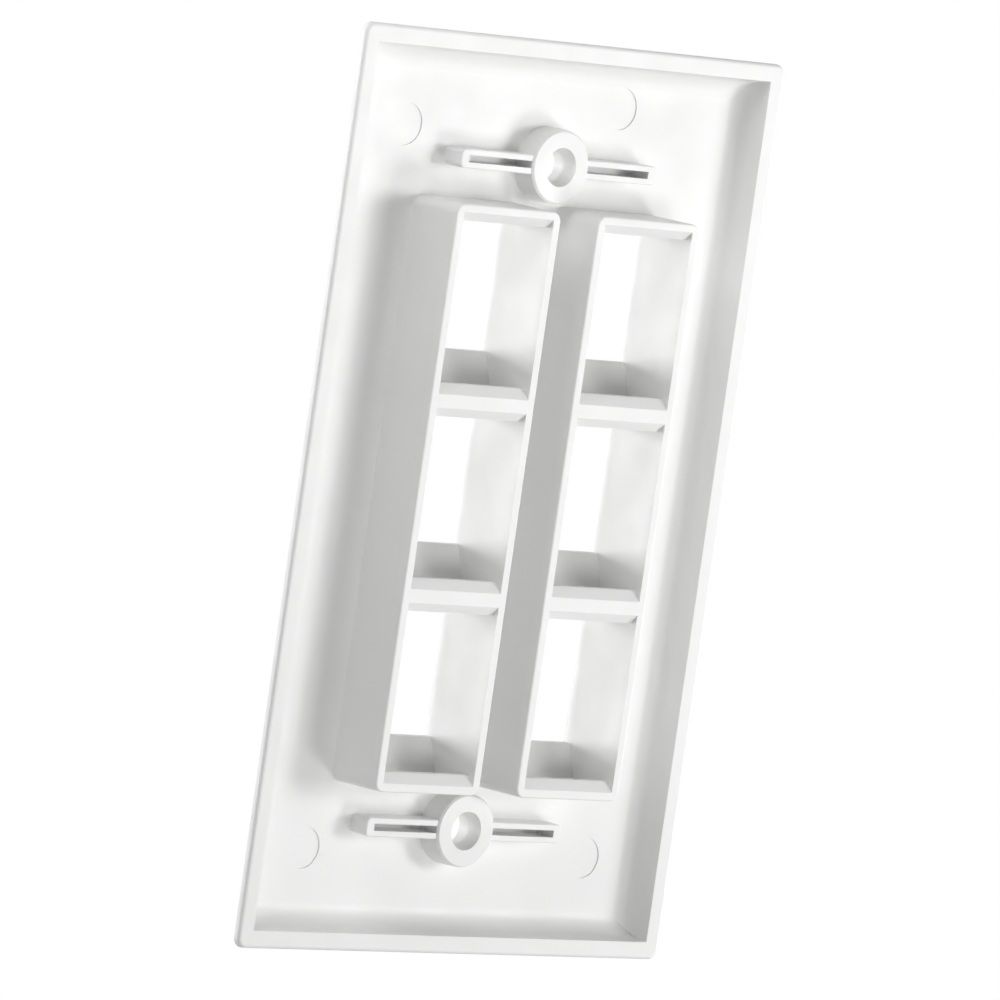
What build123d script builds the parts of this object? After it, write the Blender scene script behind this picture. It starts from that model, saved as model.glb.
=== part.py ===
from build123d import *
import math
import os

# A moulded keystone faceplate, one gang wide, with six jack ports.
# X runs to the right as seen from the front and Z runs up.
# Y runs from the front to the back, and the rim that meets the wall lies in the plane Y = 0.

# Plate and perimeter wall
plate_width = 69.85
plate_height = 114.3
plate_corner_radius = 1.3
edge_land = 0.9
edge_bevel_angle = 41.3
front_corner_radius = 1.2
front_edge_radius = 1.4
rim_width = 2.23
rim_edge_radius = 0.5
inner_wall_draft = 10.0
inner_wall_fillet = 2.7
floor_depth = 3.8
web_thickness = 2.0

# Jack ports and the housing columns that hold them
column_count = 2
row_count = 3
column_pitch = 23.3
row_pitch = 24.2
port_width = 14.8
port_height = 16.67
port_offset = 1.865
side_wall = 1.15
housing_rise = 4.4
housing_end_margin = 0.2
housing_draft = 0.6
housing_corner_radius = 1.3
housing_edge_radius = 0.25

# Latch side of a port, below its opening
lip_thickness = 1.2
latch_drop = 3.43
latch_overhang = 1.1
latch_catch_depth = 2.1
latch_lead_depth = 0.95
latch_lead_height = 1.3
pocket_rake_depth = 1.7

# Hook side of a port, above its opening
hook_slot_start = 6.5
hook_slot_width = 1.6
hook_slot_height = 1.0
hook_lead_depth = 0.9
hook_lead_height = 1.1

# Screw bosses and the cored ribs through them
screw_spacing = 83.34
boss_diameter = 9.3
boss_setback = 0.4
boss_draft = 0.8
boss_edge_chamfer = 0.25
bore_diameter = 4.9
bore_land = 0.45
screw_hole_diameter = 4.0
screw_hole_length = 1.6
countersink_angle = 82.0
countersink_diameter = 7.2
rib_length = 32.4
rib_width = 2.4
rib_wall = 0.75
rib_end_wall = 1.27
rib_height = 3.1
rib_end_radius = 0.7
rib_edge_chamfer = 0.12

# Round ejector marks sunk into the floor
mark_diameter = 5.3
mark_depth = 0.15
mark_inset = 11.6
mark_height = 45.0
odd_mark_x = -11.6
odd_mark_z = 49.4

floor_y = -floor_depth
front_y = floor_y - web_thickness
housing_height = row_count * row_pitch + 2 * housing_end_margin
column_width = port_width + 2 * side_wall
cut_margin = 1.0


def plane_at(y):
    """A plane parallel to the wall: its x is X, its y is Z, and it faces the front."""
    return Plane(origin=(0, y, 0), x_dir=(1, 0, 0), z_dir=(0, -1, 0))


def column_places():
    """The middle of each column of ports along X."""
    return [(i - (column_count - 1) / 2) * column_pitch for i in range(column_count)]


def row_places():
    """The middle of each row of ports along Z."""
    return [(i - (row_count - 1) / 2) * row_pitch for i in range(row_count)]


def screw_places():
    """The two screws along Z."""
    return [-screw_spacing / 2, screw_spacing / 2]


def outer_block():
    """The plate's outside: a short land behind a bevel that ends in a rounded front edge."""
    outline = RectangleRounded(plate_width, plate_height, plate_corner_radius)
    land = extrude(plane_at(0) * outline, amount=edge_land)
    rear_edges = land.edges().group_by(Axis.Y)[-1]
    land = fillet(rear_edges, rim_edge_radius)
    bevel_depth = -front_y - edge_land
    inset = bevel_depth * math.tan(math.radians(edge_bevel_angle))
    front_outline = RectangleRounded(plate_width - 2 * inset, plate_height - 2 * inset, front_corner_radius)
    bevel = loft([plane_at(-edge_land) * outline, plane_at(front_y) * front_outline], ruled=True)
    front_edges = bevel.edges().group_by(Axis.Y)[0]
    bevel = fillet(front_edges, front_edge_radius)
    return land + bevel


def tray_section(plane, opening):
    """Cross-section of the hollow on a plane with Y up: two drafted walls and a large fillet at the floor."""
    half_rim = opening / 2
    half_floor = half_rim - floor_depth * math.tan(math.radians(inner_wall_draft))
    outline = [(-half_rim, 0), (-half_floor, floor_y), (half_floor, floor_y), (half_rim, 0)]
    section = make_face(Polyline(outline, close=True))
    floor_corners = section.vertices().group_by(Axis.Y)[0]
    return plane * fillet(floor_corners, inner_wall_fillet)


def inner_tray():
    """The hollow behind the web, one channel along each side of the plate, meeting in mitred corners."""
    upright = tray_section(Plane(origin=(0, 0, 0), x_dir=(1, 0, 0), z_dir=(0, 0, 1)), plate_width - 2 * rim_width)
    across = tray_section(Plane(origin=(0, 0, 0), x_dir=(0, 0, -1), z_dir=(1, 0, 0)), plate_height - 2 * rim_width)
    upright_channel = extrude(upright, amount=plate_height / 2, both=True)
    across_channel = extrude(across, amount=plate_width / 2, both=True)
    return upright_channel & across_channel


def housing_column():
    """One upright block for a column of ports, from its rear face down into the web."""
    outline = RectangleRounded(column_width, housing_height, housing_corner_radius)
    depth = housing_rise + floor_depth + web_thickness / 2
    block = extrude(plane_at(housing_rise) * outline, amount=depth, taper=-housing_draft)
    rear_edges = block.edges().group_by(Axis.Y)[-1]
    return fillet(rear_edges, housing_edge_radius)


def port_void():
    """The space for one jack: the front opening, the latch pocket below and the hook slot above."""
    top = port_height / 2 + port_offset
    lip = port_offset - port_height / 2
    latch_tip = lip - latch_drop
    pocket_floor = latch_tip - latch_overhang
    lip_rear = front_y + lip_thickness
    catch_front = housing_rise - latch_catch_depth
    slot_front = front_y + hook_slot_start
    outline = [
        (front_y - cut_margin, lip),
        (lip_rear, lip),
        (lip_rear + pocket_rake_depth, pocket_floor),
        (catch_front, pocket_floor),
        (catch_front, latch_tip),
        (housing_rise - latch_lead_depth, latch_tip),
        (housing_rise, latch_tip - latch_lead_height),
        (housing_rise + cut_margin, latch_tip - latch_lead_height),
        (housing_rise + cut_margin, top + hook_lead_height),
        (housing_rise, top + hook_lead_height),
        (housing_rise - hook_lead_depth, top),
        (slot_front + hook_slot_width, top),
        (slot_front + hook_slot_width, top + hook_slot_height),
        (slot_front, top + hook_slot_height),
        (slot_front, top),
        (front_y - cut_margin, top),
    ]
    section = make_face(Plane.YZ * Polyline(outline, close=True))
    return extrude(section, amount=port_width / 2, both=True)


def screw_boss():
    """A round boss on the floor, a little lower than the rim, with a softened end."""
    height = floor_depth - boss_setback + web_thickness / 2
    post = extrude(plane_at(-boss_setback) * Circle(boss_diameter / 2), amount=height, taper=-boss_draft)
    rear_edge = post.edges().group_by(Axis.Y)[-1]
    return chamfer(rear_edge, boss_edge_chamfer)


def cored_rib():
    """A low thin-walled loop that runs through the boss and leaves a narrow slot each side of it."""
    rear_y = floor_y + rib_height
    outline = RectangleRounded(rib_length, rib_width, rib_end_radius)
    bar = extrude(plane_at(rear_y) * outline, amount=rib_height + web_thickness / 2)
    rear_edges = bar.edges().group_by(Axis.Y)[-1]
    bar = chamfer(rear_edges, rib_edge_chamfer)
    slot = Rectangle(rib_length - 2 * rib_end_wall, rib_width - 2 * rib_wall)
    return bar - extrude(plane_at(rear_y) * slot, amount=rib_height)


def screw_bore():
    """The bore from the boss's end: a land, a taper to the screw hole, and a countersink in front."""
    rear_y = -boss_setback
    screw_r = screw_hole_diameter / 2
    bore_r = bore_diameter / 2
    sink_r = countersink_diameter / 2
    sink_y = front_y + (sink_r - screw_r) / math.tan(math.radians(countersink_angle / 2))
    outline = [
        (0, rear_y + cut_margin),
        (bore_r, rear_y + cut_margin),
        (bore_r, rear_y - bore_land),
        (screw_r, sink_y + screw_hole_length),
        (screw_r, sink_y),
        (sink_r, front_y),
        (sink_r, front_y - cut_margin),
        (0, front_y - cut_margin),
    ]
    section = make_face(Plane.XY * Polyline(outline, close=True))
    return revolve(section, axis=Axis.Y)


def ejector_marks():
    """Shallow round marks in the floor, three in line with the corners and one nearer the middle."""
    side_x = plate_width / 2 - mark_inset
    places = [
        (side_x, mark_height),
        (side_x, -mark_height),
        (-side_x, -mark_height),
        (odd_mark_x, odd_mark_z),
    ]
    disc = extrude(plane_at(floor_y + cut_margin) * Circle(mark_diameter / 2), amount=cut_margin + mark_depth)
    return [Pos(x, 0, z) * disc for x, z in places]


def faceplate():
    """The whole moulding as one solid."""
    body = outer_block() - inner_tray()
    for x in column_places():
        body += Pos(x, 0, 0) * housing_column()
    for z in screw_places():
        body += Pos(0, 0, z) * cored_rib()
        body += Pos(0, 0, z) * screw_boss()
    for x in column_places():
        for z in row_places():
            body -= Pos(x, 0, z) * port_void()
    for z in screw_places():
        body -= Pos(0, 0, z) * screw_bore()
    for mark in ejector_marks():
        body -= mark
    return body


os.makedirs("parts", exist_ok=True)
export_step(faceplate(), "parts/faceplate.step")
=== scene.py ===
import math

import bpy
from mathutils import Matrix, Vector


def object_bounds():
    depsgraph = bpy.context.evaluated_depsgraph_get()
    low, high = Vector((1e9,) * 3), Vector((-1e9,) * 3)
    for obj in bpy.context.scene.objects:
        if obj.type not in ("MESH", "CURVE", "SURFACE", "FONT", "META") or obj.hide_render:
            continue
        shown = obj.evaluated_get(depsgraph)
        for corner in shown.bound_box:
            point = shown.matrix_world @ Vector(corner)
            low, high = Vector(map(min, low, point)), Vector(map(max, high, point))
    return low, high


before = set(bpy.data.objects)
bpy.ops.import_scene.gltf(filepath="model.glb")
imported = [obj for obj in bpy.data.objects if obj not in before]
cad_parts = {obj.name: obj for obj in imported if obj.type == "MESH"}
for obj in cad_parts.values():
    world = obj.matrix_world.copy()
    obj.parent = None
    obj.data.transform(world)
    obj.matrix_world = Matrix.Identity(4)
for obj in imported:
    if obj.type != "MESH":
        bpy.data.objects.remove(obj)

cad_low, cad_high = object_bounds()
scene = bpy.context.scene

# Camera: behind the plate, to the left of its back, a little above, through a long lens
camera_azimuth = math.radians(137.956)
camera_elevation = math.radians(4.850)
camera_roll = math.radians(-8.146)
camera_distance = 1.31601
camera_target = Vector((0.002612, 0.0, -0.000038))
lens_mm = 383.04
sensor_mm = 36.0
clip_start = 0.05
clip_end = 20.0

# Lamps: name, azimuth and elevation in degrees seen from the plate, distance, width and power
lamps = [
    ("near", 212.0, 10.0, 0.30, 0.08, 0.120),
    ("near_right", 220.0, 5.0, 0.45, 0.07, 0.090),
    ("top_side", 95.0, 50.0, 0.25, 0.12, 0.157),
    ("top_behind", 115.0, 50.0, 0.25, 0.12, 0.079),
    ("behind", 165.0, -10.0, 1.5, 0.45, 5.6),
    ("behind_right", 224.0, 5.0, 1.5, 0.45, 5.2),
    ("right", 265.0, -5.0, 1.5, 0.45, 5.4),
    ("low", 212.0, -25.0, 1.5, 0.45, 6.8),
    ("front", 50.0, 0.0, 1.5, 0.45, 9.2),
]
# World: the light from straight in front of the plate, and the white of the background
front_ambient = 0.82
background_strength = 1.0
white = (1.0, 1.0, 1.0, 1.0)

# Plastic: its two tones, and roughness from and to in front and behind
tone_dark = (0.865, 0.865, 0.858)
tone_light = (0.885, 0.885, 0.880)
back_roughness = (0.40, 0.50)
front_roughness = (0.22, 0.27)
front_skin_y = -0.0056
back_skin_y = -0.0046
# Size of the tone's clouds, of the flow in the gloss and of the grain, in cycles a metre
cloud_scale = 55.0
flow_scale = 180.0
grain_scale = 2600.0
grain_roughness = 0.6
cloud_detail = 3.0
fine_detail = 2.0
# The span of a noise value that is put to use
noise_low, noise_high = 0.3, 0.7
front_grain = 0.03
back_grain = 0.12
grain_depth = 0.00006
plastic_ior = 1.53
subsurface_weight = 0.18
subsurface_radius = (1.0, 0.95, 0.90)
subsurface_scale = 0.0008

# Floor: how far it lies below the plate, its size, and where it fades as shares of its radius
floor_drop = 0.12
floor_radius = 0.34
floor_corners = 96
floor_fade_start = 0.55
floor_fade_end = 0.98
floor_dark = (0.90, 0.90, 0.90)
floor_light = (0.92, 0.92, 0.92)
floor_cloud_scale = 6.0
floor_roughness = 0.9
floor_specular = 0.1

# Numbers of the Mix node's sockets, which share their names
mix_number_a, mix_number_b, mix_number_out = 2, 3, 0
mix_color_a, mix_color_b, mix_color_out = 6, 7, 2


def mix_color(nodes, links, factor, a, b):
    """A colour between a and b by a factor socket."""
    node = nodes.new("ShaderNodeMix")
    node.data_type = "RGBA"
    links.new(factor, node.inputs["Factor"])
    node.inputs[mix_color_a].default_value = (*a, 1.0)
    node.inputs[mix_color_b].default_value = (*b, 1.0)
    return node.outputs[mix_color_out]


def mix_number(nodes, links, factor, a, b):
    """A number between two sockets by a factor socket."""
    node = nodes.new("ShaderNodeMix")
    links.new(factor, node.inputs["Factor"])
    links.new(a, node.inputs[mix_number_a])
    links.new(b, node.inputs[mix_number_b])
    return node.outputs[mix_number_out]


def map_range(nodes, links, value, low, high, to_low, to_high):
    """A number mapped from one range to another, held at its ends."""
    node = nodes.new("ShaderNodeMapRange")
    links.new(value, node.inputs["Value"])
    node.inputs["From Min"].default_value = low
    node.inputs["From Max"].default_value = high
    node.inputs["To Min"].default_value = to_low
    node.inputs["To Max"].default_value = to_high
    return node.outputs["Result"]


def noise(nodes, links, vector, scale, detail, roughness=0.5):
    """A noise value on the object's own coordinates."""
    node = nodes.new("ShaderNodeTexNoise")
    links.new(vector, node.inputs["Vector"])
    node.inputs["Scale"].default_value = scale
    node.inputs["Detail"].default_value = detail
    node.inputs["Roughness"].default_value = roughness
    return node.outputs["Fac"]


def moulded_plastic():
    """White moulded plastic: polished in front, a finely grained skin behind, faintly uneven."""
    material = bpy.data.materials.new("moulded_plastic")
    material.use_nodes = True
    nodes = material.node_tree.nodes
    links = material.node_tree.links
    shader = nodes["Principled BSDF"]
    place = nodes.new("ShaderNodeTexCoord").outputs["Object"]
    parts = nodes.new("ShaderNodeSeparateXYZ")
    links.new(place, parts.inputs["Vector"])
    # 0 on the front skin, 1 behind it
    behind = map_range(nodes, links, parts.outputs["Y"], front_skin_y, back_skin_y, 0.0, 1.0)

    cloud = noise(nodes, links, place, cloud_scale, cloud_detail)
    tone = map_range(nodes, links, cloud, noise_low, noise_high, 0.0, 1.0)
    color = mix_color(nodes, links, tone, tone_dark, tone_light)
    links.new(color, shader.inputs["Base Color"])

    grain = noise(nodes, links, place, grain_scale, fine_detail, grain_roughness)
    flow = noise(nodes, links, place, flow_scale, fine_detail)
    back_rough = map_range(nodes, links, flow, noise_low, noise_high, *back_roughness)
    front_rough = map_range(nodes, links, flow, noise_low, noise_high, *front_roughness)
    rough = mix_number(nodes, links, behind, front_rough, back_rough)
    links.new(rough, shader.inputs["Roughness"])

    bump = nodes.new("ShaderNodeBump")
    links.new(grain, bump.inputs["Height"])
    strength = map_range(nodes, links, behind, 0.0, 1.0, front_grain, back_grain)
    links.new(strength, bump.inputs["Strength"])
    bump.inputs["Distance"].default_value = grain_depth
    links.new(bump.outputs["Normal"], shader.inputs["Normal"])

    shader.inputs["IOR"].default_value = plastic_ior
    shader.inputs["Subsurface Weight"].default_value = subsurface_weight
    shader.inputs["Subsurface Radius"].default_value = subsurface_radius
    shader.inputs["Subsurface Scale"].default_value = subsurface_scale
    return material


def floor_material():
    """Pale floor that fades out at its edge."""
    material = bpy.data.materials.new("pale_floor")
    material.use_nodes = True
    nodes = material.node_tree.nodes
    links = material.node_tree.links
    shader = nodes["Principled BSDF"]
    place = nodes.new("ShaderNodeTexCoord").outputs["Object"]
    cloud = noise(nodes, links, place, floor_cloud_scale, fine_detail)
    color = mix_color(nodes, links, cloud, floor_dark, floor_light)
    links.new(color, shader.inputs["Base Color"])
    shader.inputs["Roughness"].default_value = floor_roughness
    shader.inputs["Specular IOR Level"].default_value = floor_specular
    from_middle = nodes.new("ShaderNodeVectorMath")
    from_middle.operation = "LENGTH"
    links.new(place, from_middle.inputs[0])
    fade_start = floor_fade_start * floor_radius
    fade_end = floor_fade_end * floor_radius
    edge = map_range(nodes, links, from_middle.outputs["Value"], fade_start, fade_end, 1.0, 0.0)
    links.new(edge, shader.inputs["Alpha"])
    return material


def make_floor():
    """A round pale floor under the plate."""
    bpy.ops.mesh.primitive_circle_add(
        vertices=floor_corners, radius=floor_radius, fill_type="NGON"
    )
    floor = bpy.context.object
    floor.name = "floor"
    floor.location = (0, 0, cad_low.z - floor_drop)
    floor.data.materials.append(floor_material())


def direction(azimuth, elevation):
    """Unit vector from the plate: azimuth 0 is in front, 90 at its right and 180 behind it."""
    level = math.cos(elevation)
    return Vector((math.sin(azimuth) * level, -math.cos(azimuth) * level, math.sin(elevation)))


def make_lamps():
    """Small lamps near the plate, behind it and above its side, and soft ones further off."""
    for name, azimuth, elevation, distance, width, power in lamps:
        light = bpy.data.lights.new(name, "AREA")
        light.shape = "SQUARE"
        light.size = width
        light.energy = power
        lamp = bpy.data.objects.new(name, light)
        scene.collection.objects.link(lamp)
        place = distance * direction(math.radians(azimuth), math.radians(elevation))
        # the lamp looks at the middle of the plate
        lamp.location = place
        lamp.rotation_mode = "QUATERNION"
        lamp.rotation_quaternion = (-place).to_track_quat("-Z", "Y")


def make_world():
    """Soft light from the front, and white where the camera or a reflection sees past the plate."""
    world = bpy.data.worlds.new("studio")
    scene.world = world
    world.use_nodes = True
    nodes = world.node_tree.nodes
    links = world.node_tree.links
    nodes.clear()
    soft = nodes.new("ShaderNodeBackground")
    soft.inputs["Color"].default_value = white
    place = nodes.new("ShaderNodeTexCoord").outputs["Generated"]
    toward_front = nodes.new("ShaderNodeVectorMath")
    toward_front.operation = "DOT_PRODUCT"
    links.new(place, toward_front.inputs[0])
    toward_front.inputs[1].default_value = (0.0, -1.0, 0.0)
    strength = map_range(
        nodes, links, toward_front.outputs["Value"], 0.0, 1.0, 0.0, front_ambient
    )
    links.new(strength, soft.inputs["Strength"])
    backdrop = nodes.new("ShaderNodeBackground")
    backdrop.inputs["Color"].default_value = white
    backdrop.inputs["Strength"].default_value = background_strength
    path = nodes.new("ShaderNodeLightPath")
    seen = path.outputs["Is Camera Ray"]
    for ray in ("Is Glossy Ray", "Is Transmission Ray"):
        either = nodes.new("ShaderNodeMath")
        either.operation = "MAXIMUM"
        links.new(seen, either.inputs[0])
        links.new(path.outputs[ray], either.inputs[1])
        seen = either.outputs[0]
    mix = nodes.new("ShaderNodeMixShader")
    links.new(seen, mix.inputs[0])
    links.new(soft.outputs[0], mix.inputs[1])
    links.new(backdrop.outputs[0], mix.inputs[2])
    out = nodes.new("ShaderNodeOutputWorld")
    links.new(mix.outputs[0], out.inputs["Surface"])


def make_camera():
    """The camera with the photograph's angle, lean and lens."""
    data = bpy.data.cameras.new("camera")
    data.sensor_width = sensor_mm
    data.lens = lens_mm
    data.clip_start = clip_start
    data.clip_end = clip_end
    data.dof.use_dof = False
    camera = bpy.data.objects.new("camera", data)
    scene.collection.objects.link(camera)
    back = direction(camera_azimuth, camera_elevation)
    right = (-back).cross(Vector((0, 0, 1))).normalized()
    up = right.cross(-back)
    turned_right = math.cos(camera_roll) * right - math.sin(camera_roll) * up
    turned_up = math.sin(camera_roll) * right + math.cos(camera_roll) * up
    turn = Matrix((turned_right, turned_up, back)).transposed().to_4x4()
    camera.matrix_world = Matrix.Translation(camera_target + camera_distance * back) @ turn
    scene.camera = camera


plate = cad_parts["faceplate"]
plate.data.materials.clear()
plate.data.materials.append(moulded_plastic())

make_floor()
make_lamps()
make_world()
make_camera()

scene.view_settings.view_transform = "Standard"
